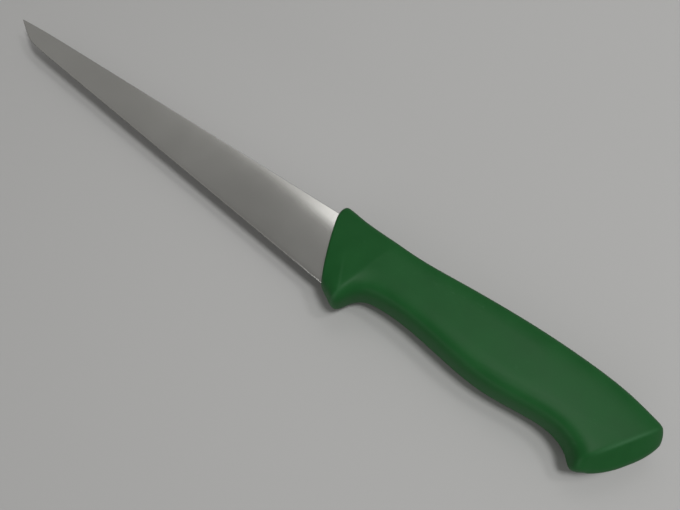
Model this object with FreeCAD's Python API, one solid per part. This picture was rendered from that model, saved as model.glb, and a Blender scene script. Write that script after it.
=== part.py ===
import FreeCAD, Part
import math
import os

from FreeCAD import Vector

# A fillet knife lying on its flank: a ground steel blade with a hidden tang, a hard core moulded round the
# tang and a grip moulded round the core. It is drawn with X from the tip to the butt, Y from the edge to the
# spine and Z through the thickness, from the point where the blade's spine enters the handle, and is shifted
# at the end so that the origin lies under the middle of its box. Lengths are in millimetres.

# Blade, one blank of sheet
BLADE_LENGTH = 180.0            # tip to handle, along the spine
SHEET_THICKNESS = 2.0           # the whole tang, and the spine near the heel
HEEL_SETBACK = 20.0             # how far the heel reaches inside the handle
HEEL_COVER = 4.0                # heel to the tip of the finger guard below it
TIP_RUN = 12.0                  # tip to the corner where the edge turns up
TIP_DEPTH = 8.35                # spine to that corner, before it is rounded
TIP_DROP = 0.7                  # tip below the straight of the spine
TIP_BOW = 30.0                  # length of spine over which it drops
BELLY_RADIUS = 30.0             # rounding of the corner
GRIND_HEIGHT = 20.0             # edge to the line where the grind leaves the sheet's full thickness
GRIND_SETBACK = 17.0            # how far the grind runs on inside the handle
EDGE_THICKNESS = 0.5            # steel behind the edge bevel
BEVEL_DEGREES = 15.0            # edge bevel, each side

# Tang, the hidden end of the blank
SHOULDER_SETBACK = 12.0         # end of the full-depth spine inside the handle
TANG_DROP = 5.5                 # spine to the tang's upper side
TANG_DEPTH = 19.5               # spine to the tang's lower side
TANG_SETBACK = 30.0             # where the heel's back meets the tang
TANG_END = 107.0                # rear end of the tang
KEY_HOLE = 6.0                  # diameter of the holes that lock the core to the tang
KEY_HOLE_SHARES = (0.2, 0.5, 0.8)

# Handle outline, seen from the flank
HANDLE_LENGTH = 144.5           # front corner at the spine to the rear of the butt
GUARD_SETBACK = 21.0            # front corner to the tip of the finger guard
GUARD_DEPTH = 33.3              # spine to the tip of the guard
CHOIL_DEPTH = 23.0              # spine to the belly behind the guard
SWELL_DEPTH = 28.3              # spine to the belly at the palm swell
WAIST_DEPTH = 27.0              # spine to the belly ahead of the hook
HOOK_SETBACK = 22.3             # rear of the butt to the tip of the hook
HOOK_DEPTH = 35.0               # spine to the tip of the hook
FRONT_RISE = 3.6                # top of the handle above the spine, at the front corner
DIP_RISE = 0.1                  # the same at the dip behind the corner
HUMP_RISE = 1.75                # the same at the hump over the palm
BUTT_DROP = 10.0                # spine to the upper end of the butt's face
FRONT_BOW = 0.75                # bulge of the front face
BUTT_BOW = 2.2                  # bulge of the butt's face

# Shares of the sizes above: along the setback and the depth of the guard, the handle's length, or the hook
GUARD_SHARES = ((0.615, 0.875), (0.725, 0.919), (0.84, 0.958), (0.965, 0.997),
                (1.04, 0.997), (1.125, 0.949), (1.18, 0.889))
GUARD_BACK_SHARES = ((1.248, 0.42), (1.333, 0.24), (1.438, 0.11), (1.62, 0.03))
CHOIL_SHARE = 0.285
SWELL_SHARE = 0.59
WAIST_SHARE = 0.717
HOOK_BACK_SHARES = ((1.445, 0.056), (1.214, 0.31), (1.064, 0.70))
HOOK_SHARES = ((0.98, 0.993), (0.864, 0.977), (0.755, 0.943))
CORNER_SHARES = ((0.46, -0.12), (0.53, 0.46), (0.82, 0.95), (1.38, 1.0))
CORNER_BACK_SHARES = ((0.072, 0.743), (0.165, 0.271))
DIP_SHARE = 0.26
RISE_SHARES = (0.395, 0.424)
HUMP_SHARE = 0.609
FALL_SHARES = (0.78, 0.411)
BUTT_CORNER_SHARES = ((0.116, 0.112), (0.0435, 0.365), (0.0235, 0.47), (0.0125, 0.61), (0.0045, 0.81),
                      (0.0, 1.0))

# Handle thickness
HANDLE_THICKNESS = 20.5         # at the crest of the guard and along the grip
FRONT_THICKNESS = 13.5          # across the front face, before its rim is rounded
BUTT_THICKNESS = 17.2           # across the flanks where the butt's bevels start
FRONT_RIM = 1.1                 # rounding of the front face's rim
BUTT_BEVEL = 5.1                # start of the butt's bevels to the chord of its face
NOSE_THICKNESS = 4.4            # what the bevels leave of the butt's face, before its rim is rounded
NOSE_RIM = 1.6                  # rounding of that rim
BUTT_EDGE = 0.6                 # rounding where the flanks meet the bevels
LAND_DEPTH = 0.12               # crown taken off each flank, which leaves a flat land
CREST_LEAD = 0.7                # the crest's foot ahead of the guard's tip
CREST_SETBACK = 26.3            # the crest's upper end behind the front corner
CREST_DEPTH = 10.9              # spine to the crest's upper end
SCOOP_DEPTH = 1.5               # finger scoop behind the crest, each flank
SCOOP_REACH = 8.0               # crest to the deepest line of the scoop
RIDGE_WIDTH = 1.2               # rounding along the crest
BOW_POWERS = (2, 2.5)           # how square the bulges of the front and the butt are
BOW_SHARE = 0.25                # how far along the handle they die out
TAPER_SHARE = 0.62              # where the flanks start to thin towards the butt
FLANK_SHARE = 0.45              # fullness of the section's flanks, nought for an ellipse
BACK_SHARE = 0.31               # fullness of the section's belly and back
BAND_WIDTH = 7.3                # front face to the faint ridge ahead of the crest
FOLD_SHARE = 0.9                # how sharply the flank folds at that ridge
RIDGE_SHARES = (0.05, 0.08)     # softness of that ridge and of the crest

# Core under the grip's skin
SKIN = 2.8                      # grip over the core
CORE_SHARES = (0.20, 0.95)      # the stretch of the handle that the core fills
CORE_HOLE = 7.0                 # diameter of the holes that lock the grip to the core
CORE_HOLE_SHARES = (0.36, 0.70)     # places of those holes across the core, behind the tang

# Drawing
OVERRUN = 5.0                   # how far cutters reach past what they cut
ROWS = 48                       # stations along the handle
RIM_ROWS = 3                    # steps between stations in each rounded rim
BEVEL_ROWS = 3                  # extra stations along the butt's bevels
COLUMNS = 17                    # points across one flank
MIRROR = (Vector(0, 0, 0), Vector(0, 0, 1))

HEEL_DEPTH = GUARD_DEPTH - HEEL_COVER
HALF_SHEET = SHEET_THICKNESS / 2
HALF_EDGE = EDGE_THICKNESS / 2
HALF_HANDLE = HANDLE_THICKNESS / 2


def line(a, b):
    return Part.LineSegment(a, b).toShape()


def arc(a, middle, b):
    return Part.Arc(a, middle, b).toShape()


def ease(share):
    """Smooth step from 0 to 1."""
    share = min(max(share, 0.0), 1.0)
    return share * share * (3 - 2 * share)


def soft_least(a, b, width):
    """The lesser of two values, rounded over where they cross."""
    return (a + b - math.hypot(a - b, width)) / 2


# Blade

HEEL = Vector(HEEL_SETBACK, -HEEL_DEPTH, 0)
CORNER = Vector(TIP_RUN - BLADE_LENGTH, -TIP_DEPTH, 0)
TIP = Vector(-BLADE_LENGTH, -TIP_DROP, 0)
ALONG_EDGE = (CORNER - HEEL).normalize()
ALONG_TIP = (TIP - CORNER).normalize()
FROM_EDGE = Vector(ALONG_EDGE.y, -ALONG_EDGE.x, 0)
FROM_TIP = Vector(ALONG_TIP.y, -ALONG_TIP.x, 0)


def edge_path(start, end, inset, height):
    """Edge line, rounded corner and tip line from start to end, moved in towards the spine and up."""
    half_turn = ALONG_EDGE.getAngle(ALONG_TIP) / 2
    inwards = (FROM_EDGE + FROM_TIP).normalize()
    centre = CORNER + inwards * (BELLY_RADIUS / math.cos(half_turn))
    radius = BELLY_RADIUS - inset
    up = Vector(0, 0, height)
    first = start + FROM_EDGE * inset + up
    turn = [centre - way * radius + up for way in (FROM_EDGE, inwards, FROM_TIP)]
    last = end + FROM_TIP * inset + up
    return [line(first, turn[0]), arc(*turn), line(turn[2], last)], first, last


def blank():
    """The flat sheet: blade, heel and tang with its key holes."""
    path = edge_path(HEEL, TIP, 0, 0)[0]
    bow_end = Vector(TIP_BOW - BLADE_LENGTH, 0, 0)
    bow_middle = Vector(TIP_BOW / 2 - BLADE_LENGTH, -TIP_DROP / 4, 0)
    half_tang = (TANG_DEPTH - TANG_DROP) / 2
    shoulder = Vector(SHOULDER_SETBACK, 0, 0)
    shoulder_foot = Vector(SHOULDER_SETBACK + TANG_DROP, -TANG_DROP, 0)
    upper_end = Vector(TANG_END - half_tang, -TANG_DROP, 0)
    rear = Vector(TANG_END, -TANG_DROP - half_tang, 0)
    lower_end = Vector(TANG_END - half_tang, -TANG_DEPTH, 0)
    tang_root = Vector(TANG_SETBACK, -TANG_DEPTH, 0)
    path += [arc(TIP, bow_middle, bow_end), line(bow_end, shoulder), line(shoulder, shoulder_foot),
             line(shoulder_foot, upper_end), arc(upper_end, rear, lower_end), line(lower_end, tang_root),
             line(tang_root, HEEL)]
    face = Part.Face(Part.Wire(path))
    sheet = face.extrude(Vector(0, 0, SHEET_THICKNESS))
    sheet.translate(Vector(0, 0, -HALF_SHEET))
    for share in KEY_HOLE_SHARES:
        place = Vector(TANG_SETBACK + share * (TANG_END - TANG_SETBACK), rear.y, -HALF_SHEET - OVERRUN)
        sheet = sheet.cut(Part.makeCylinder(KEY_HOLE / 2, SHEET_THICKNESS + 2 * OVERRUN, place))
    return sheet


def grind_cutter():
    """Steel above the ground flank, from inside the handle to past the tip."""
    slope = (HALF_SHEET - HALF_EDGE) / GRIND_HEIGHT
    low = HALF_EDGE - slope * OVERRUN
    high = HALF_SHEET + slope * OVERRUN
    corners = ((-OVERRUN, low), (GRIND_HEIGHT + OVERRUN, high), (-OVERRUN, high))
    start = HEEL + ALONG_EDGE * ((GRIND_SETBACK - HEEL_SETBACK) / ALONG_EDGE.x)
    points = [start + FROM_EDGE * away + Vector(0, 0, height) for away, height in corners]
    face = Part.Face(Part.makePolygon(points + points[:1]))
    return face.extrude(ALONG_EDGE * (BLADE_LENGTH + HEEL_SETBACK + OVERRUN))


def bevel_limit():
    """Everything on the steel's side of one edge bevel."""
    height = HALF_SHEET + OVERRUN * math.tan(math.radians(BEVEL_DEGREES))
    inset = height / math.tan(math.radians(BEVEL_DEGREES))
    start = HEEL - ALONG_EDGE * TANG_END
    end = TIP + ALONG_TIP * OVERRUN
    wires = []
    for inset_here, height_here in ((0, 0), (inset, height)):
        path, first, last = edge_path(start, end, inset_here, height_here)
        rear = Vector(first.x + OVERRUN, inset + OVERRUN, height_here)
        fore = Vector(last.x - OVERRUN, inset + OVERRUN, height_here)
        wires.append(Part.Wire(path + [line(last, fore), line(fore, rear), line(rear, first)]))
    return Part.makeLoft(wires, True, True)


def blade():
    cutter = grind_cutter()
    limit = bevel_limit()
    shape = blank().cut([cutter, cutter.mirror(*MIRROR)])
    return shape.common(limit.fuse(limit.mirror(*MIRROR)))


# Handle

def spline(points):
    curve = Part.BSplineCurve()
    curve.interpolate(points)
    return curve.toShape()


def belly_line():
    """Underside of the handle from the foot of the front face to the foot of the butt's face."""
    points = [Vector(along * GUARD_SETBACK, -down * GUARD_DEPTH, 0) for along, down in GUARD_SHARES]
    for along, left in GUARD_BACK_SHARES:
        depth = CHOIL_DEPTH + left * (GUARD_DEPTH - CHOIL_DEPTH)
        points.append(Vector(along * GUARD_SETBACK, -depth, 0))
    grip = ((CHOIL_SHARE, CHOIL_DEPTH), (SWELL_SHARE, SWELL_DEPTH), (WAIST_SHARE, WAIST_DEPTH))
    points += [Vector(share * HANDLE_LENGTH, -depth, 0) for share, depth in grip]
    for along, gone in HOOK_BACK_SHARES:
        depth = WAIST_DEPTH + gone * (HOOK_DEPTH - WAIST_DEPTH)
        points.append(Vector(HANDLE_LENGTH - along * HOOK_SETBACK, -depth, 0))
    for along, down in HOOK_SHARES:
        points.append(Vector(HANDLE_LENGTH - along * HOOK_SETBACK, -down * HOOK_DEPTH, 0))
    return spline(points)


def back_line():
    """Top of the handle from the head of the front face to the head of the butt's face."""
    points = [Vector(along * FRONT_RISE, up * FRONT_RISE, 0) for along, up in CORNER_SHARES]
    rises = [(along, DIP_RISE + left * (FRONT_RISE - DIP_RISE)) for along, left in CORNER_BACK_SHARES]
    slope = DIP_RISE + RISE_SHARES[1] * (HUMP_RISE - DIP_RISE)
    rises += [(DIP_SHARE, DIP_RISE), (RISE_SHARES[0], slope), (HUMP_SHARE, HUMP_RISE),
              (FALL_SHARES[0], FALL_SHARES[1] * HUMP_RISE)]
    points += [Vector(share * HANDLE_LENGTH, rise, 0) for share, rise in rises]
    for along, down in BUTT_CORNER_SHARES:
        points.append(Vector(HANDLE_LENGTH * (1 - along), -down * BUTT_DROP, 0))
    return spline(points)


BELLY = belly_line()
BACK = back_line()


def at_share(edge, share):
    return edge.valueAt(edge.getParameterByLength(share * edge.Length))


class EndFace:
    """Front or butt face: an upright face along a bowed chord from the belly to the back."""

    def __init__(self, share, bow, power):
        self.foot = at_share(BELLY, share)
        self.chord = at_share(BACK, share) - self.foot
        self.bow = bow
        self.power = power
        way = self.chord / self.chord.Length
        side = -1 if share == 0 else 1
        self.outwards = Vector(way.y, -way.x, 0) * side

    def height(self, across):
        return self.bow * (1 - abs(2 * across - 1) ** self.power)

    def bulge(self, across):
        return self.outwards * self.height(across)

    def inside(self, point):
        """How far inside the face and inside its chord a point of the outline lies."""
        away = point - self.foot
        across = min(max(self.chord.dot(away) / self.chord.Length ** 2, 0.0), 1.0)
        from_chord = -self.outwards.dot(away)
        return max(0.0, from_chord + self.height(across)), from_chord


FRONT = EndFace(0, FRONT_BOW, BOW_POWERS[0])
BUTT = EndFace(1, BUTT_BOW, BOW_POWERS[1])


def rim_loss(distance, radius):
    """What a rounded rim takes off the half thickness near a face."""
    if distance >= radius:
        return 0.0
    return radius - math.sqrt(radius * radius - (radius - distance) ** 2)


def half_thickness(point):
    """Half the handle's thickness over a point of its outline."""
    rise = (point.y + GUARD_DEPTH) / (GUARD_DEPTH - CREST_DEPTH)
    foot = GUARD_SETBACK - CREST_LEAD
    crest = foot + (CREST_SETBACK - foot) * max(rise, 0.0)
    front = FRONT.inside(point)[0]
    behind = point.x - crest
    ramp_length = max(front - behind, RIDGE_WIDTH)
    band = min(BAND_WIDTH / ramp_length, 1.0)
    fold = band + FOLD_SHARE * (1 - ease(rise)) * band * (1 - band)
    rest = (front - BAND_WIDTH) / max(ramp_length - BAND_WIDTH, RIDGE_WIDTH)
    ramp = soft_least(fold * front / min(BAND_WIDTH, ramp_length), fold + (1 - fold) * rest, RIDGE_SHARES[0])
    ramp = soft_least(ramp, 1.0, RIDGE_SHARES[1])
    half = (FRONT_THICKNESS + (HANDLE_THICKNESS - FRONT_THICKNESS) * ramp) / 2
    reach = (behind + math.hypot(behind, RIDGE_WIDTH)) / 2 / SCOOP_REACH
    half -= SCOOP_DEPTH * (1 - ease(rise)) * reach * math.exp(1 - reach)
    taper = ease((point.x / HANDLE_LENGTH - TAPER_SHARE) / (1 - TAPER_SHARE))
    half -= (HANDLE_THICKNESS - BUTT_THICKNESS) / 2 * taper
    butt, from_chord = BUTT.inside(point)
    bevel_gone = butt / (butt - from_chord + BUTT_BEVEL)
    bevel = NOSE_THICKNESS + (BUTT_THICKNESS - NOSE_THICKNESS) * bevel_gone
    half = soft_least(half, bevel / 2, BUTT_EDGE)
    return half - rim_loss(front, FRONT_RIM) - rim_loss(butt, NOSE_RIM)


def flank_row(share, skin):
    """Points of the upper flank across one station, from belly to back, a skin's depth inside the handle."""
    foot = at_share(BELLY, share)
    head = at_share(BACK, share)
    span = head - foot
    inwards = span * (skin / span.Length)
    front_left = 1 - ease(share / BOW_SHARE)
    butt_left = 1 - ease((1 - share) / BOW_SHARE)
    points = []
    for column in range(COLUMNS):
        angle = math.pi * column / (COLUMNS - 1)
        across = (1 - math.cos(angle) * (1 + BACK_SHARE * math.sin(angle) ** 2)) / 2
        place = foot + inwards + (span - inwards * 2) * across
        place += FRONT.bulge(across) * front_left + BUTT.bulge(across) * butt_left
        full = math.sin(angle) * (1 + FLANK_SHARE * math.cos(angle) ** 2)
        if column in (0, COLUMNS - 1):
            full = 0.0
        points.append(Vector(place.x, place.y, full * (half_thickness(place) - skin)))
    return points


def moulding(shares, skin):
    """Closed body between two stations of the handle, a skin's depth inside it."""
    surface = Part.BSplineSurface()
    surface.interpolate([flank_row(share, skin) for share in shares])
    flank = surface.toShape()
    first, last = surface.bounds()[:2]
    faces = [flank, flank.mirror(*MIRROR)]
    for end in (first, last):
        edge = surface.uIso(end).toShape()
        faces.append(Part.makeRuledSurface(edge, edge.mirror(*MIRROR)))
    shell = Part.makeShell(faces)
    shell.sewShape()
    return Part.makeSolid(shell)


def stations(start, end):
    step = (end - start) / ROWS
    return [start + step * row for row in range(ROWS + 1)]


def rim_stations():
    """Stations of the whole handle, closer together in its two rounded rims and at the butt's bevels."""
    shares = stations(0.0, 1.0)
    rim = shares[1]
    extra = [rim * (1 - math.cos(math.pi / 2 * row / RIM_ROWS)) for row in range(1, RIM_ROWS)]
    bevel = [1 - rim * (row + 0.5) for row in range(1, BEVEL_ROWS + 1)]
    return sorted(shares + extra + [1 - share for share in extra] + bevel)


def outer():
    """The handle's outer form, with a flat land on each flank."""
    body = moulding(rim_stations(), 0)
    half_land = HALF_HANDLE - LAND_DEPTH
    reach = HANDLE_LENGTH + 2 * OVERRUN
    corner = Vector(-OVERRUN, -reach / 2, -half_land)
    return body.common(Part.makeBox(reach, reach, 2 * half_land, corner))


def core():
    """Inner body round the tang, with the holes that the grip's plastic fills."""
    body = moulding(stations(*CORE_SHARES), SKIN)
    rear = (TANG_END + at_share(BELLY, CORE_SHARES[1]).x) / 2
    for share in CORE_HOLE_SHARES:
        depth = HUMP_RISE - share * (HUMP_RISE + SWELL_DEPTH)
        place = Vector(rear, depth, -HANDLE_THICKNESS)
        body = body.cut(Part.makeCylinder(CORE_HOLE / 2, 2 * HANDLE_THICKNESS, place))
    return body


def main():
    os.makedirs("parts", exist_ok=True)
    steel = blade()
    filling = core()
    whole = outer()
    pieces = {
        "blade": steel,
        "handle_core": filling.cut(steel),
        "handle_grip": whole.cut([filling, steel]),
    }
    box = Part.makeCompound(list(pieces.values())).optimalBoundingBox(False, False)
    shift = Vector(-box.Center.x, -box.Center.y, -box.ZMin)
    for name, shape in pieces.items():
        shape.translate(shift)
        shape.exportStep("parts/" + name + ".step")
        print(name, "valid", shape.isValid(), "solids", len(shape.Solids), "volume", round(shape.Volume, 1))
    print("shift", shift, "box", box)


main()
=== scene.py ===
import math

import bpy
import numpy as np
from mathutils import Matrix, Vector


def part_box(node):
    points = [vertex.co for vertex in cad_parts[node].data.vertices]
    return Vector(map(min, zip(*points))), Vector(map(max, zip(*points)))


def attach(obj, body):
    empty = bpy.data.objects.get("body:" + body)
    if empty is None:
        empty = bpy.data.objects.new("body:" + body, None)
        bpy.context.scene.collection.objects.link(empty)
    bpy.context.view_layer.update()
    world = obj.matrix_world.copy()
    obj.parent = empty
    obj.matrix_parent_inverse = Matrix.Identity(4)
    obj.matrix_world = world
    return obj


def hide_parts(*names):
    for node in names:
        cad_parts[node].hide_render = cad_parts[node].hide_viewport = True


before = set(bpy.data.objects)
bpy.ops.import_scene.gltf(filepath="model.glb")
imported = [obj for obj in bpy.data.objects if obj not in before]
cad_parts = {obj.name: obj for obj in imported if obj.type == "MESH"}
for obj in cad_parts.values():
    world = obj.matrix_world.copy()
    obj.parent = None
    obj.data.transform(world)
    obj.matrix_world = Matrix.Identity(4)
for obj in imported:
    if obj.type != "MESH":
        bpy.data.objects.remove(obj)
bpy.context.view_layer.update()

# The fillet knife's looks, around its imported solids. Shapes are worked out in millimetres in the knife's own
# frame: from the point where the blade's spine meets the handle, X to the butt, Y to the spine and Z up
# through the thickness. place() puts them in the row's frame, in metres.

MM = 0.001

# Blade
BLADE_LENGTH = 180.0            # tip to handle, along the spine
HALF_SHEET = 1.0                # half the sheet's thickness
HEEL = (20.0, -29.3)            # rear end of the edge, inside the handle
EDGE_CORNER = (-168.0, -8.35)   # where the edge turns up to the tip, before it is rounded
TIP_DROP = 0.7                  # tip below the straight of the spine
TIP_BOW = 30.0                  # length of spine over which it drops
BELLY_RADIUS = 30.0             # rounding of the edge's corner
GRIND_HEIGHT = 20.0             # edge to the line where the grind leaves the full sheet
GRIND_BLEND = 0.10              # softness of that line
HALF_EDGE = 0.25                # half the steel behind the edge bevel
BEVEL_SLOPE = math.tan(math.radians(15.0))
SPINE_ROUND = 0.35              # rounding of the spine's edges
SHOULDER = (12.0, 17.5)         # where the spine steps down to the tang
TANG_DROP = 5.5                 # spine to the tang's upper side
TANG_DEPTH = 19.5               # spine to the tang's lower side
TANG_ROUND = (TANG_DEPTH - TANG_DROP) / 2
TANG_ROOT = 30.0                # where the heel's back meets the tang
TANG_END = 107.0                # rear end of the tang

# Handle outline. Depths and rises are from the spine, and the shares are of the sizes above them.
HANDLE_LENGTH = 144.5
GUARD_SETBACK = 21.0            # front corner to the tip of the finger guard
GUARD_DEPTH = 33.3
CHOIL_DEPTH = 23.0              # belly behind the guard
SWELL_DEPTH = 28.3              # belly at the palm swell
WAIST_DEPTH = 27.0              # belly ahead of the hook
HOOK_SETBACK = 22.3             # rear of the butt to the tip of the hook
HOOK_DEPTH = 35.0
FRONT_RISE = 3.6                # back at the front corner
DIP_RISE = 0.1                  # back at the dip behind the corner
HUMP_RISE = 1.75                # back at the hump over the palm
BUTT_DROP = 10.0                # upper end of the butt's face
FRONT_BOW = 0.75                # bulge of the front face
BUTT_BOW = 2.2                  # bulge of the butt's face
GUARD_SHARES = ((0.615, 0.875), (0.725, 0.919), (0.84, 0.958), (0.965, 0.997),
                (1.04, 0.997), (1.125, 0.949), (1.18, 0.889))
GUARD_BACK_SHARES = ((1.248, 0.42), (1.333, 0.24), (1.438, 0.11), (1.62, 0.03))
GRIP_SHARES = ((0.285, CHOIL_DEPTH), (0.59, SWELL_DEPTH), (0.717, WAIST_DEPTH))
HOOK_BACK_SHARES = ((1.445, 0.056), (1.214, 0.31), (1.064, 0.70))
HOOK_SHARES = ((0.98, 0.993), (0.864, 0.977), (0.755, 0.943))
CORNER_SHARES = ((0.46, -0.12), (0.53, 0.46), (0.82, 0.95), (1.38, 1.0))
CORNER_BACK_SHARES = ((0.072, 0.743), (0.165, 0.271))
DIP_SHARE = 0.26
RISE_SHARES = (0.395, 0.424)
HUMP_SHARE = 0.609
FALL_SHARES = (0.78, 0.411)
BUTT_CORNER_SHARES = ((0.116, 0.112), (0.0435, 0.365), (0.0235, 0.47), (0.0125, 0.61), (0.0045, 0.81),
                      (0.0, 1.0))

# Handle thickness
HANDLE_THICKNESS = 20.5         # at the crest of the guard and along the grip
FRONT_THICKNESS = 13.5          # across the front face, before its rim is rounded
BUTT_THICKNESS = 17.2           # where the butt's bevels start
FRONT_RIM = 1.1                 # rounding of the front face's rim
BUTT_BEVEL = 5.1                # start of the butt's bevels to the chord of its face
NOSE_THICKNESS = 4.4            # what the bevels leave of the butt's face, before its rim is rounded
NOSE_RIM = 1.6                  # rounding of that rim
BUTT_EDGE = 0.45                # rounding where the flanks meet the bevels
LAND_DEPTH = 0.12               # crown taken off each flank, which leaves a flat land
CREST_LEAD = 0.7                # the crest's foot ahead of the guard's tip
CREST_SETBACK = 26.3            # the crest's upper end behind the front corner
CREST_DEPTH = 10.9              # spine to the crest's upper end
SCOOP_DEPTH = 1.5               # finger scoop behind the crest, each flank
SCOOP_REACH = 8.0               # crest to the deepest line of the scoop
RIDGE_WIDTH = 0.5               # rounding along the crest
BAND_WIDTH = 7.3                # front face to the faint ridge ahead of the crest
FOLD_SHARE = 0.9                # how sharply the flank folds at that ridge
RIDGE_SHARES = (0.02, 0.035)    # softness of that ridge and of the crest
BOW_POWERS = (2, 2.5)           # how square the bulges of the front and the butt are
BOW_SHARE = 0.25                # how far along the handle they die out
TAPER_SHARE = 0.62              # where the flanks start to thin towards the butt
FLANK_SHARE = 0.45              # fullness of the section's flanks, nought for an ellipse
BACK_SHARE = 0.31               # fullness of the section's belly and back

# Painted highlights along the ridges, drawn as pale lines: each line's width and how strong it is
CREST_HIGHLIGHT = (0.8, 0.36)
BAND_HIGHLIGHT = (0.55, 0.4)
BUTT_HIGHLIGHT = (0.55, 1.0)
BUTT_HIGHLIGHT_LEAD = 0.2            # the butt's painted highlight line ahead of the bevels' start

# Meshes
GRIP_ROWS = 300                 # rings along the handle
GRIP_COLUMNS = 64               # steps across one flank
FACE_STEPS = 6                  # steps across the end faces
END_CROWDING = (0.012, 9.0)     # reach and density of the extra rings at both ends
CROWDED = ((0.13, 0.07, 2.2), (0.965, 0.02, 3.0))   # middle, spread and density at the crest and bevels
SPLINE_SAMPLES = 3000
END_GAP = 0.02                  # first and last ring of the blank to its ends
TIP_STRETCH = 14.0              # length of the tip's closer rings
TIP_ROWS = 40
TIP_CROWDING = 1.6              # power by which they close up towards the tip
BLADE_STEP = 1.2                # rings along the rest of the blade
BLADE_GAP = 0.1                 # end of the tip's stretch to the first of them
TANG_STEP = 5.0                 # rings along the tang
TANG_GAP = 0.5                  # the last of them to the tang's rounded end
TANG_ROWS = 12                  # rings round that end
LEAST_DEPTH = 0.05              # least depth of a ring of the blank
BEVEL_LIMIT = 0.25              # most of the blade's depth that the edge bevel takes
RIM_LIMIT = 0.1                 # most of it that the rounded spine takes
BEVEL_COLUMNS = (0.0, 0.5, 0.92, 1.0, 1.08)     # columns at the bevel, as shares of its width
FLANK_MARGINS = (1.3, 1.5)      # the flank's columns to the edge and the spine, in bevels and rims
FLANK_COLUMNS = 30
RIM_COLUMNS = 5                 # steps round the spine's edge
HONED_MARGIN = 1.04             # how far from the edge the honed steel reaches, in bevels

# Materials. A noise is its scale per metre, detail and roughness.
# A bump is its strength and its height in metres.
EVEN = (1.0, 1.0, 1.0)          # noise that isn't stretched
MIDDLE_NOISE = (0.3, 0.7)       # the stretch of a noise that holds most of its values
GREEN_CLOUD = (90.0, 3.0)
GREEN_STOPS = ((0.30, (0.0076, 0.067, 0.0144, 1.0)), (0.70, (0.0104, 0.078, 0.0181, 1.0)))
# Pale green that the scuffs go towards, and that the painted highlights along the ridges go towards
GREEN_SCUFF_AND_HIGHLIGHT = (0.036, 0.118, 0.048, 1.0)
GREEN_ROUGHNESS = (0.46, 0.52)
GREEN_SPECULAR = 0.115
GRAIN_NOISE = (2600.0, 2.0)
GRAIN_BUMP = (0.18, 0.00006)
SCRATCH_STRETCH = (0.35, 1.0, 1.0)
SCRATCH_NOISE = (900.0, 2.0, 0.6)
SCRATCH_BUMP = (0.04, 0.0001)
SCRATCH_RANGE = (0.62, 0.74)    # where the scratches' noise turns into scuffs
PATCH_NOISE = (60.0, 2.0)
PATCH_RANGE = (0.52, 0.68)      # where patches of scuffs begin and are full
SCUFF_COLOUR = 0.30             # how far scuffs go to the worn green
SCUFF_ROUGHNESS = 0.10
RIDGE_HIGHLIGHT_COLOUR = 0.95            # how far the painted highlights along the ridges go to it
STEEL_CLOUD = (55.0, 3.0)
STEEL_STOPS = ((0.25, (0.505, 0.500, 0.475, 1.0)), (0.75, (0.535, 0.530, 0.505, 1.0)))
STEEL_ROUGHNESS = (0.165, 0.195)
STEEL_MOTTLE = (-0.010, 0.010)  # what the clouds add to the roughness
GRIND_STRETCH = (1.0, 0.02, 0.2)
GRIND_NOISE = (2400.0, 3.0, 0.65)
GRIND_BUMP = (0.012, 0.00001)
HONED_ROUGHNESS = 0.05          # what honing takes off the roughness
CORE_CLOUD = (70.0, 3.0)
CORE_STOPS = ((0.3, (0.42, 0.41, 0.35, 1.0)), (0.7, (0.50, 0.49, 0.43, 1.0)))
CORE_ROUGHNESS = 0.5

# Floor and light, in metres in the row's frame
FLOOR_REACH = 3.0
FLOOR_COLOUR = (0.425, 0.423, 0.417, 1.0)
FLOOR_ROUGHNESS = 0.9
FLOOR_SPECULAR = 0.1
SKY_COLOUR = (1.0, 0.995, 0.98, 1.0)
SKY_HEIGHTS = (0.72, 0.95)      # upward part of a direction where the sky starts and stops fading
SKY_STRENGTHS = (0.345, 0.23)   # the sky below and above that
LAMPS = (                       # name, centre, aim, size and power
    ("window_near", (-0.02, 0.54, 0.9), (-0.02, 0.54, 0.0), (0.20, 0.34), 0.3),
    ("window", (-0.20, 0.505, 0.9), (-0.20, 0.505, 0.0), (0.19, 0.34), 0.34),
    ("window_far", (-0.54, 0.530, 0.9), (-0.54, 0.530, 0.0), (0.46, 0.34), 0.32),
    ("key", (0.28, 0.05, 0.95), (0.28, 0.05, 0.0), (0.20, 0.20), 4.55),
    ("rear", (0.34, 0.30, 0.80), (0.12, 0.0, 0.0), (0.12, 0.12), 0.9),
    ("low_fill", (0.10, -3.2, 0.29), (0.10, 0.0, 0.012), (3.0, 0.45), 23.0),
)

# Camera, from the photograph's frame
IMAGE_WIDTH = 680
FOCAL_PIXELS = 620.0
SENSOR_WIDTH = 36.0
CLIP_START = 0.01
CAMERA_PLACE = (66.117, -92.975, 225.346)
CAMERA_TARGET = (11.528, -14.428, 0.0)

blade_low, blade_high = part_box("blade")
ORIGIN = Vector((blade_low.x + BLADE_LENGTH * MM, blade_high.y, (blade_low.z + blade_high.z) / 2))


def place(point):
    """A point of the knife's own frame in the row's frame."""
    return ORIGIN + Vector(point) * MM


def ease(share):
    """Smooth step from nought to one."""
    share = min(max(share, 0.0), 1.0)
    return share * share * (3 - 2 * share)


def soft_least(a, b, width):
    """The lesser of two values, rounded where they cross."""
    return (a + b - math.hypot(a - b, width)) / 2


def rim_loss(distance, radius):
    """What a rounded rim takes off the half thickness near a face."""
    if distance >= radius:
        return 0.0
    return radius - math.sqrt(radius * radius - (radius - max(distance, 0.0)) ** 2)


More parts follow.
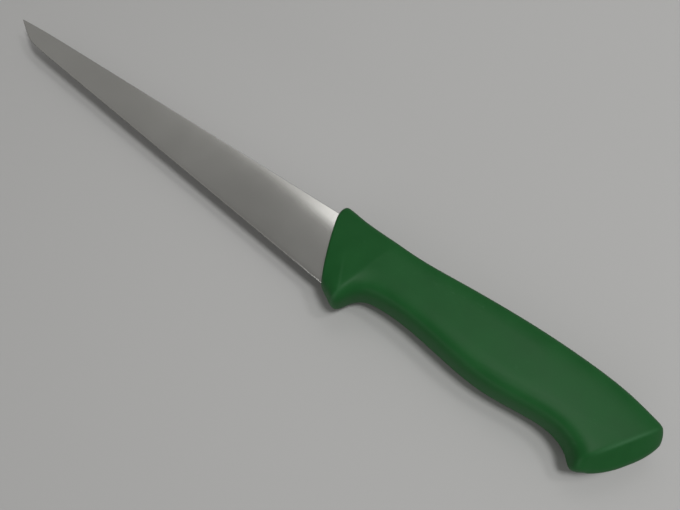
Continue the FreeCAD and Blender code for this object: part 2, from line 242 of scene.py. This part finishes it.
class Spline:
    """Smooth line through points, read by its share of length."""

    def __init__(self, points):
        knots = np.array(points, float)
        steps = np.linalg.norm(np.diff(knots, axis=0), axis=1)
        places = np.concatenate(([0.0], np.cumsum(steps)))
        count = len(knots)
        rows = np.zeros((count, count))
        values = np.zeros((count, 2))
        for k in range(1, count - 1):
            before, after = steps[k - 1], steps[k]
            rows[k, k - 1:k + 2] = before, 2 * (before + after), after
            values[k] = 6 * ((knots[k + 1] - knots[k]) / after - (knots[k] - knots[k - 1]) / before)
        rows[0, :3] = steps[1], -(steps[0] + steps[1]), steps[0]
        rows[-1, -3:] = steps[-1], -(steps[-2] + steps[-1]), steps[-2]
        bends = np.linalg.solve(rows, values)
        along = np.linspace(0.0, places[-1], SPLINE_SAMPLES)
        spans = np.clip(np.searchsorted(places, along, side="right") - 1, 0, count - 2)
        width = steps[spans][:, None]
        left = (places[spans + 1] - along)[:, None]
        right = (along - places[spans])[:, None]
        self.line = (bends[spans] * left ** 3 + bends[spans + 1] * right ** 3) / (6 * width)
        self.line += (knots[spans] / width - bends[spans] * width / 6) * left
        self.line += (knots[spans + 1] / width - bends[spans + 1] * width / 6) * right
        lengths = np.linalg.norm(np.diff(self.line, axis=0), axis=1)
        self.length = np.concatenate(([0.0], np.cumsum(lengths)))

    def at(self, share):
        where = share * self.length[-1]
        return np.array([np.interp(where, self.length, self.line[:, axis]) for axis in (0, 1)])


def belly_line():
    """The handle's outline from the front face round the guard and along the belly to the hook's tip."""
    points = [(along * GUARD_SETBACK, -down * GUARD_DEPTH) for along, down in GUARD_SHARES]
    for along, left in GUARD_BACK_SHARES:
        points.append((along * GUARD_SETBACK, -CHOIL_DEPTH - left * (GUARD_DEPTH - CHOIL_DEPTH)))
    points += [(share * HANDLE_LENGTH, -depth) for share, depth in GRIP_SHARES]
    for along, gone in HOOK_BACK_SHARES:
        depth = WAIST_DEPTH + gone * (HOOK_DEPTH - WAIST_DEPTH)
        points.append((HANDLE_LENGTH - along * HOOK_SETBACK, -depth))
    points += [(HANDLE_LENGTH - along * HOOK_SETBACK, -down * HOOK_DEPTH) for along, down in HOOK_SHARES]
    return Spline(points)


def back_line():
    """The handle's outline from the front face over the corner and along the back to the butt's face."""
    points = [(along * FRONT_RISE, up * FRONT_RISE) for along, up in CORNER_SHARES]
    rises = [(along, DIP_RISE + left * (FRONT_RISE - DIP_RISE)) for along, left in CORNER_BACK_SHARES]
    rises += [(DIP_SHARE, DIP_RISE), (RISE_SHARES[0], DIP_RISE + RISE_SHARES[1] * (HUMP_RISE - DIP_RISE)),
              (HUMP_SHARE, HUMP_RISE), (FALL_SHARES[0], FALL_SHARES[1] * HUMP_RISE)]
    points += [(share * HANDLE_LENGTH, rise) for share, rise in rises]
    points += [(HANDLE_LENGTH * (1 - along), -down * BUTT_DROP) for along, down in BUTT_CORNER_SHARES]
    return Spline(points)


BELLY = belly_line()
BACK = back_line()


class EndFace:
    """Front or butt face: an upright face along a bowed chord from the belly to the back."""

    def __init__(self, share, bow, power):
        self.foot = BELLY.at(share)
        self.chord = BACK.at(share) - self.foot
        self.length = float(np.linalg.norm(self.chord))
        self.bow = bow
        self.power = power
        side = -1 if share == 0 else 1
        self.outwards = np.array((self.chord[1], -self.chord[0])) / self.length * side

    def height(self, across):
        return self.bow * (1 - abs(2 * across - 1) ** self.power)

    def bulge(self, across):
        return self.outwards * self.height(across)

    def inside(self, point):
        """How far a point lies inside the face and inside its chord, and its share along the chord."""
        away = point - self.foot
        across = min(max(float(self.chord @ away) / self.length ** 2, 0.0), 1.0)
        from_chord = -float(self.outwards @ away)
        return max(0.0, from_chord + self.height(across)), from_chord, across


FRONT = EndFace(0, FRONT_BOW, BOW_POWERS[0])
BUTT = EndFace(1, BUTT_BOW, BOW_POWERS[1])


def highlight_strength(distance, line):
    """How strong a ridge's painted highlight is at a distance from the ridge."""
    width, most = line
    return math.exp(-(distance / width) ** 2) * most


def half_thickness(point):
    """Half the handle's thickness over a point of its outline, and the painted highlight that nearby ridges
    give the point.
    """
    rise = (point[1] + GUARD_DEPTH) / (GUARD_DEPTH - CREST_DEPTH)
    near_guard = 1 - ease(rise)
    foot = GUARD_SETBACK - CREST_LEAD
    crest = foot + (CREST_SETBACK - foot) * max(rise, 0.0)
    front = FRONT.inside(point)[0]
    behind = point[0] - crest
    ramp_length = max(front - behind, RIDGE_WIDTH)
    band = min(BAND_WIDTH / ramp_length, 1.0)
    fold = band + FOLD_SHARE * near_guard * band * (1 - band)
    rest = (front - BAND_WIDTH) / max(ramp_length - BAND_WIDTH, RIDGE_WIDTH)
    ramp = soft_least(fold * front / min(BAND_WIDTH, ramp_length), fold + (1 - fold) * rest, RIDGE_SHARES[0])
    ramp = soft_least(ramp, 1.0, RIDGE_SHARES[1])
    half = (FRONT_THICKNESS + (HANDLE_THICKNESS - FRONT_THICKNESS) * ramp) / 2
    reach = (behind + math.hypot(behind, RIDGE_WIDTH)) / 2 / SCOOP_REACH
    half -= SCOOP_DEPTH * near_guard * reach * math.exp(1 - reach)
    taper = ease((point[0] / HANDLE_LENGTH - TAPER_SHARE) / (1 - TAPER_SHARE))
    half -= (HANDLE_THICKNESS - BUTT_THICKNESS) / 2 * taper
    butt, from_chord, across = BUTT.inside(point)
    bevel_gone = butt / (butt - from_chord + BUTT_BEVEL)
    bevel = NOSE_THICKNESS + (BUTT_THICKNESS - NOSE_THICKNESS) * bevel_gone
    half = soft_least(half, bevel / 2, BUTT_EDGE)
    half -= rim_loss(front, FRONT_RIM) + rim_loss(butt, NOSE_RIM)
    # Painted highlights: pale lines along the crest, along the faint ridge ahead of it and at the start of the
    # butt's bevels, where light catches these rounded ridges.
    painted_highlight = highlight_strength(behind, CREST_HIGHLIGHT) * near_guard
    if behind < 0:
        painted_highlight = max(painted_highlight, highlight_strength(front - BAND_WIDTH, BAND_HIGHLIGHT) * near_guard)
    butt_highlight = highlight_strength(from_chord - BUTT_BEVEL - BUTT_HIGHLIGHT_LEAD, BUTT_HIGHLIGHT) * 4 * across * (1 - across)
    return half, max(painted_highlight, butt_highlight)


def grip_stations():
    """Shares along the handle, closer together at the front, round the crest and at the butt."""
    steps = np.linspace(0.0, 1.0, GRIP_ROWS)
    reach, extra = END_CROWDING
    density = 1.0 + extra * (np.exp(-steps / reach) + np.exp(-(1 - steps) / reach))
    for middle, spread, extra in CROWDED:
        density += extra * np.exp(-((steps - middle) / spread) ** 2)
    total = np.concatenate(([0.0], np.cumsum((density[1:] + density[:-1]) / 2)))
    return np.interp(np.linspace(0.0, total[-1], GRIP_ROWS), total, steps)


def new_piece(name, vertices, faces, material, node):
    """A smooth mesh in the row's frame that stands for a CAD node."""
    mesh = bpy.data.meshes.new(name)
    mesh.from_pydata([place(vertex) for vertex in vertices], [], faces)
    mesh.validate()
    mesh.polygons.foreach_set("use_smooth", [True] * len(mesh.polygons))
    mesh.materials.append(material)
    piece = bpy.data.objects.new(name, mesh)
    bpy.context.scene.collection.objects.link(piece)
    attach(piece, "root")
    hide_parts(node)
    return piece


def add_attribute(piece, name, values):
    """A number for each vertex that the material reads."""
    attribute = piece.data.attributes.new(name, "FLOAT", "POINT")
    attribute.data.foreach_set("value", values)


def ring_faces(rows, ring):
    """Quads between rings of vertices."""
    faces = []
    for row in range(rows - 1):
        for k in range(ring):
            a, b = row * ring + k, row * ring + (k + 1) % ring
            faces.append((a, b, b + ring, a + ring))
    return faces


def grip_section(share):
    """Points and painted highlight across the handle's upper half at one station, from the belly to the back.
    """
    half_land = HANDLE_THICKNESS / 2 - LAND_DEPTH
    foot, head = BELLY.at(share), BACK.at(share)
    front_left = 1 - ease(share / BOW_SHARE)
    butt_left = 1 - ease((1 - share) / BOW_SHARE)
    section = []
    for column in range(GRIP_COLUMNS + 1):
        angle = math.pi * column / GRIP_COLUMNS
        across = (1 - math.cos(angle) * (1 + BACK_SHARE * math.sin(angle) ** 2)) / 2
        spot = foot + (head - foot) * across
        spot = spot + FRONT.bulge(across) * front_left + BUTT.bulge(across) * butt_left
        half, painted_highlight = half_thickness(spot)
        full = math.sin(angle) * (1 + FLANK_SHARE * math.cos(angle) ** 2)
        height = 0.0 if column in (0, GRIP_COLUMNS) else min(full * half, half_land)
        section.append((spot[0], spot[1], height, painted_highlight))
    return section


def grip(material):
    """The handle's green moulding, one closed skin of rings from the front face to the butt."""
    vertices, painted_highlights = [], []
    ring = 2 * GRIP_COLUMNS
    for share in grip_stations():
        upper = grip_section(share)
        lower = [(x, y, -z, painted_highlight) for x, y, z, painted_highlight in upper[-2:0:-1]]
        for x, y, z, painted_highlight in upper + lower:
            vertices.append((x, y, z))
            painted_highlights.append(painted_highlight)
    faces = ring_faces(GRIP_ROWS, ring)
    for start, turned in ((0, True), ((GRIP_ROWS - 1) * ring, False)):
        end_face(vertices, painted_highlights, faces, start, turned)
    piece = new_piece("handle_grip_moulding", vertices, faces, material, "handle_grip")
    # The painted highlight of each vertex, which the material reads.
    add_attribute(piece, "painted_highlight", painted_highlights)


def end_face(vertices, painted_highlights, faces, start, turned):
    """Closes the ring that starts at a vertex with columns of quads between its two flanks."""
    columns = [[start]]
    for k in range(1, GRIP_COLUMNS):
        top, low = start + k, start + 2 * GRIP_COLUMNS - k
        column = [top]
        for step in range(1, FACE_STEPS):
            share = step / FACE_STEPS
            vertices.append(tuple(np.array(vertices[top]) * (1 - share) + np.array(vertices[low]) * share))
            painted_highlights.append(0.0)
            column.append(len(vertices) - 1)
        columns.append(column + [low])
    columns.append([start + GRIP_COLUMNS])
    for left, right in zip(columns, columns[1:]):
        for step in range(FACE_STEPS):
            corners = [left[min(step, len(left) - 1)], right[min(step, len(right) - 1)],
                       right[min(step + 1, len(right) - 1)], left[min(step + 1, len(left) - 1)]]
            corners = list(dict.fromkeys(corners))
            faces.append(tuple(corners[::-1] if turned else corners))


def tang_half_depth(x):
    """Half the tang's depth, which its rounded end takes to nought."""
    short = max(x - TANG_END + TANG_ROUND, 0.0)
    return math.sqrt(max(TANG_ROUND * TANG_ROUND - short * short, 0.0))


def edge_depth(x):
    """Depth of the cutting edge, or of the tang's underside, below the spine, and the edge's slope there."""
    if x > TANG_ROOT:
        return TANG_DROP + TANG_ROUND + tang_half_depth(x), 0.0
    if x > HEEL[0]:
        share = (x - HEEL[0]) / (TANG_ROOT - HEEL[0])
        return -HEEL[1] + (TANG_DEPTH + HEEL[1]) * share, 0.0
    corner = EDGE_CORNER
    tip = (-BLADE_LENGTH, -TIP_DROP)
    slope = (HEEL[1] - corner[1]) / (HEEL[0] - corner[0])
    tip_slope = (corner[1] - tip[1]) / (corner[0] - tip[0])
    turn = BELLY_RADIUS * math.tan((math.atan(-tip_slope) - math.atan(-slope)) / 2)
    straight = -corner[1] - slope * (x - corner[0])
    upturned = -corner[1] - tip_slope * (x - corner[0])
    blend = turn * (tip_slope - slope) / 2
    depth = soft_least(straight, upturned, abs(blend))
    near_tip = 1 / (1 + math.exp((x - corner[0]) / (turn / 2)))
    return depth, -(slope + (tip_slope - slope) * near_tip)


def spine_depth(x):
    """Depth of the spine, or of the tang's upper side, below the straight of the spine."""
    if x < TIP_BOW - BLADE_LENGTH:
        return TIP_DROP * ((TIP_BOW - BLADE_LENGTH - x) / TIP_BOW) ** 2
    if x > SHOULDER[1]:
        return TANG_DROP + TANG_ROUND - tang_half_depth(x)
    return TANG_DROP * max(x - SHOULDER[0], 0.0) / (SHOULDER[1] - SHOULDER[0])


def blade_stations():
    """Places along the blank, closer together at the tip, the heel and the tang's end."""
    tip_end = TIP_STRETCH - BLADE_LENGTH
    tang_start = TANG_END - TANG_ROUND
    tip = [END_GAP - BLADE_LENGTH + TIP_STRETCH * (k / TIP_ROWS) ** TIP_CROWDING for k in range(TIP_ROWS)]
    body = list(np.arange(tip_end + BLADE_GAP, SHOULDER[0], BLADE_STEP))
    root = [SHOULDER[0], SHOULDER[1], HEEL[0], TANG_ROOT]
    tang = list(np.arange(TANG_ROOT + TANG_STEP, tang_start - TANG_GAP, TANG_STEP))
    end = [tang_start + TANG_ROUND * math.sin(math.pi / 2 * k / TANG_ROWS) for k in range(TANG_ROWS)]
    return tip + body + root + tang + end + [TANG_END - END_GAP]


def blade_columns(width):
    """Distances from the edge to the spine across one station, closer together at both."""
    bevel = min(HALF_EDGE / BEVEL_SLOPE, BEVEL_LIMIT * width)
    rim = min(SPINE_ROUND, RIM_LIMIT * width)
    columns = [bevel * share for share in BEVEL_COLUMNS]
    flank = np.linspace(bevel * FLANK_MARGINS[0], width - rim * FLANK_MARGINS[1], FLANK_COLUMNS)
    rounded = [width - rim * (1 - math.sin(math.pi / 2 * k / RIM_COLUMNS)) for k in range(RIM_COLUMNS + 1)]
    return columns + list(flank) + rounded


def blade_half(away, width, x):
    """Half the blade's thickness at a distance from its edge."""
    if x > HEEL[0]:
        return HALF_SHEET
    ground = HALF_EDGE + (HALF_SHEET - HALF_EDGE) / GRIND_HEIGHT * away
    half = min(soft_least(ground, HALF_SHEET + GRIND_BLEND / 4, GRIND_BLEND), HALF_SHEET)
    rim = min(SPINE_ROUND, RIM_LIMIT * width, half)
    return min(half, away * BEVEL_SLOPE) - rim_loss(width - away, rim)


def blade_section(x):
    """Points across the blank's upper half at one station, from edge to spine, and which are honed."""
    low, slope = edge_depth(x)
    high = spine_depth(x)
    width = max(low - high, LEAST_DEPTH)
    lean = math.cos(math.atan(slope))
    section = []
    for away in blade_columns(width):
        half = blade_half(away * lean, width, x)
        on_bevel = away * lean * BEVEL_SLOPE < HALF_EDGE * HONED_MARGIN
        honed = 1.0 if x < HEEL[0] and half > 0.0 and on_bevel else 0.0
        section.append((x, away - high - width, half, honed))
    return section


def blade(material):
    """The ground blank: exposed blade, heel and hidden tang, one closed skin."""
    vertices, bevels = [], []
    stations = blade_stations()
    for station in stations:
        upper = blade_section(station)
        lower = [(x, y, -z, honed) for x, y, z, honed in upper[::-1]]
        for x, y, z, honed in upper + lower:
            vertices.append((x, y, z))
            bevels.append(honed)
    rows = len(stations)
    ring = len(vertices) // rows
    faces = ring_faces(rows, ring)
    faces.append(tuple(range(ring))[::-1])
    faces.append(tuple(range((rows - 1) * ring, rows * ring)))
    piece = new_piece("blade_blank", vertices, faces, material, "blade")
    add_attribute(piece, "bevel", bevels)


class Nodes:
    """Short ways to write a material's node tree."""

    def __init__(self, name):
        self.material = bpy.data.materials.new(name)
        self.material.use_nodes = True
        self.tree = self.material.node_tree
        self.shader = self.tree.nodes["Principled BSDF"]

    def add(self, kind, **values):
        node = self.tree.nodes.new(kind)
        for key, value in values.items():
            if hasattr(node, key):
                setattr(node, key, value)
            else:
                node.inputs[key.replace("_", " ").title()].default_value = value
        return node

    def link(self, start, end):
        self.tree.links.new(start, end)

    def coordinates(self, scale):
        source = self.add("ShaderNodeTexCoord")
        mapping = self.add("ShaderNodeMapping")
        mapping.inputs["Scale"].default_value = scale
        self.link(source.outputs["Object"], mapping.inputs["Vector"])
        return mapping.outputs["Vector"]

    def noise(self, vector, scale, detail, roughness=0.5):
        node = self.add("ShaderNodeTexNoise", scale=scale, detail=detail, roughness=roughness)
        self.link(vector, node.inputs["Vector"])
        return node.outputs["Fac"]

    def ramp(self, value, stops):
        """Colour from the first stop to the last."""
        node = self.add("ShaderNodeValToRGB")
        for element, stop in zip(node.color_ramp.elements, stops):
            element.position, element.color = stop
        self.link(value, node.inputs["Fac"])
        return node.outputs["Color"]

    def span(self, value, low, high, to_low=0.0, to_high=1.0):
        """A stretch of values moved to another."""
        node = self.add("ShaderNodeMapRange")
        set_range(node, low, high, to_low, to_high)
        self.link(value, node.inputs["Value"])
        return node.outputs["Result"]

    def math(self, kind, a, b):
        node = self.add("ShaderNodeMath", operation=kind)
        for socket, value in zip(node.inputs, (a, b)):
            if isinstance(value, (int, float)):
                socket.default_value = value
            else:
                self.link(value, socket)
        return node.outputs["Value"]

    def mix(self, share, a, b):
        """Colours or colour sockets mixed by a share."""
        node = self.add("ShaderNodeMix", data_type="RGBA")
        self.link(share, node.inputs["Factor"])
        colour_inputs = [socket for socket in node.inputs if socket.type == "RGBA"]
        for socket, value in zip(colour_inputs, (a, b)):
            if isinstance(value, tuple):
                socket.default_value = value
            else:
                self.link(value, socket)
        return [socket for socket in node.outputs if socket.type == "RGBA"][0]

    def bump(self, height, strength, distance, before=None):
        node = self.add("ShaderNodeBump", strength=strength, distance=distance)
        self.link(height, node.inputs["Height"])
        if before is not None:
            self.link(before, node.inputs["Normal"])
        return node.outputs["Normal"]

    def attribute(self, name):
        node = self.add("ShaderNodeAttribute", attribute_name=name)
        return node.outputs["Fac"]


def set_range(node, low, high, to_low, to_high):
    """The numbers of a Map Range node."""
    for key, number in (("From Min", low), ("From Max", high), ("To Min", to_low), ("To Max", to_high)):
        node.inputs[key].default_value = number


def green_plastic():
    """Satin moulded green: faint mottling, a fine spark-eroded grain, light scuffs, and painted highlights
    along the ridges.
    """
    nodes = Nodes("green_moulding")
    shader = nodes.shader
    even = nodes.coordinates(EVEN)
    cloud = nodes.noise(even, *GREEN_CLOUD)
    scratch = nodes.noise(nodes.coordinates(SCRATCH_STRETCH), *SCRATCH_NOISE)
    patch = nodes.noise(even, *PATCH_NOISE)
    scuff = nodes.math("MULTIPLY", nodes.span(scratch, *SCRATCH_RANGE), nodes.span(patch, *PATCH_RANGE))
    # The ridges' pale lines are painted highlights and the scuffs are pale wear. Both go towards the same pale
    # green.
    ridge_highlight = nodes.math("MULTIPLY", nodes.attribute("painted_highlight"), RIDGE_HIGHLIGHT_COLOUR)
    scuff_and_highlight = nodes.math("MAXIMUM", nodes.math("MULTIPLY", scuff, SCUFF_COLOUR), ridge_highlight)
    colour = nodes.mix(scuff_and_highlight, nodes.ramp(cloud, GREEN_STOPS), GREEN_SCUFF_AND_HIGHLIGHT)
    nodes.link(colour, shader.inputs["Base Color"])
    satin = nodes.span(cloud, *MIDDLE_NOISE, *GREEN_ROUGHNESS)
    roughness = nodes.math("ADD", satin, nodes.math("MULTIPLY", scuff, SCUFF_ROUGHNESS))
    nodes.link(roughness, shader.inputs["Roughness"])
    fine = nodes.bump(nodes.noise(even, *GRAIN_NOISE), *GRAIN_BUMP)
    nodes.link(nodes.bump(scratch, *SCRATCH_BUMP, fine), shader.inputs["Normal"])
    shader.inputs["Specular IOR Level"].default_value = GREEN_SPECULAR
    return nodes.material


def satin_steel():
    """Stainless sheet with a fine cross grind and a brighter honed edge."""
    nodes = Nodes("satin_steel")
    shader = nodes.shader
    lines = nodes.noise(nodes.coordinates(GRIND_STRETCH), *GRIND_NOISE)
    cloud = nodes.noise(nodes.coordinates(EVEN), *STEEL_CLOUD)
    nodes.link(nodes.ramp(cloud, STEEL_STOPS), shader.inputs["Base Color"])
    shader.inputs["Metallic"].default_value = 1.0
    ground = nodes.span(lines, *MIDDLE_NOISE, *STEEL_ROUGHNESS)
    satin = nodes.math("ADD", ground, nodes.span(cloud, *MIDDLE_NOISE, *STEEL_MOTTLE))
    honed = nodes.math("MULTIPLY", nodes.attribute("bevel"), HONED_ROUGHNESS)
    nodes.link(nodes.math("SUBTRACT", satin, honed), shader.inputs["Roughness"])
    nodes.link(nodes.bump(lines, *GRIND_BUMP), shader.inputs["Normal"])
    return nodes.material


def natural_plastic():
    """The hidden core's plain hard plastic."""
    nodes = Nodes("core_moulding")
    cloud = nodes.noise(nodes.coordinates(EVEN), *CORE_CLOUD)
    nodes.link(nodes.ramp(cloud, CORE_STOPS), nodes.shader.inputs["Base Color"])
    nodes.shader.inputs["Roughness"].default_value = CORE_ROUGHNESS
    return nodes.material


def floor():
    """A plain pale floor, which isn't part of the knife."""
    mesh = bpy.data.meshes.new("floor")
    corners = [(x * FLOOR_REACH, y * FLOOR_REACH, 0) for x, y in ((-1, -1), (1, -1), (1, 1), (-1, 1))]
    mesh.from_pydata(corners, [], [(0, 1, 2, 3)])
    nodes = Nodes("pale_floor")
    nodes.shader.inputs["Base Color"].default_value = FLOOR_COLOUR
    nodes.shader.inputs["Roughness"].default_value = FLOOR_ROUGHNESS
    nodes.shader.inputs["Specular IOR Level"].default_value = FLOOR_SPECULAR
    mesh.materials.append(nodes.material)
    piece = bpy.data.objects.new("floor", mesh)
    bpy.context.scene.collection.objects.link(piece)


def softbox(name, centre, aim, size, power):
    """A rectangular lamp that faces a point."""
    light = bpy.data.lights.new(name, "AREA")
    light.shape = "RECTANGLE"
    light.size, light.size_y = size
    light.energy = power
    lamp = bpy.data.objects.new(name, light)
    lamp.location = centre
    lamp.rotation_euler = (Vector(aim) - Vector(centre)).to_track_quat("-Z", "Y").to_euler()
    bpy.context.scene.collection.objects.link(lamp)


def studio():
    """A soft sky that is a little dimmer overhead, and the softboxes."""
    world = bpy.data.worlds.new("studio")
    world.use_nodes = True
    tree = world.node_tree
    background = tree.nodes["Background"]
    background.inputs["Color"].default_value = SKY_COLOUR
    way = tree.nodes.new("ShaderNodeTexCoord")
    axes = tree.nodes.new("ShaderNodeSeparateXYZ")
    fade = tree.nodes.new("ShaderNodeMapRange")
    set_range(fade, *SKY_HEIGHTS, *SKY_STRENGTHS)
    tree.links.new(way.outputs["Generated"], axes.inputs["Vector"])
    tree.links.new(axes.outputs["Z"], fade.inputs["Value"])
    tree.links.new(fade.outputs["Result"], background.inputs["Strength"])
    bpy.context.scene.world = world
    for lamp in LAMPS:
        softbox(*lamp)


def camera():
    """The photograph's view."""
    data = bpy.data.cameras.new("photo_camera")
    data.sensor_width = SENSOR_WIDTH
    data.lens = FOCAL_PIXELS / IMAGE_WIDTH * SENSOR_WIDTH
    data.clip_start = CLIP_START
    eye = bpy.data.objects.new("photo_camera", data)
    eye.location = place(CAMERA_PLACE)
    eye.rotation_euler = (place(CAMERA_TARGET) - eye.location).to_track_quat("-Z", "Y").to_euler()
    bpy.context.scene.collection.objects.link(eye)
    bpy.context.scene.camera = eye


def main():
    blade(satin_steel())
    grip(green_plastic())
    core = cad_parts["handle_core"]
    core.data.materials.clear()
    core.data.materials.append(natural_plastic())
    floor()
    studio()
    camera()
    bpy.context.scene.view_settings.view_transform = "Standard"


main()
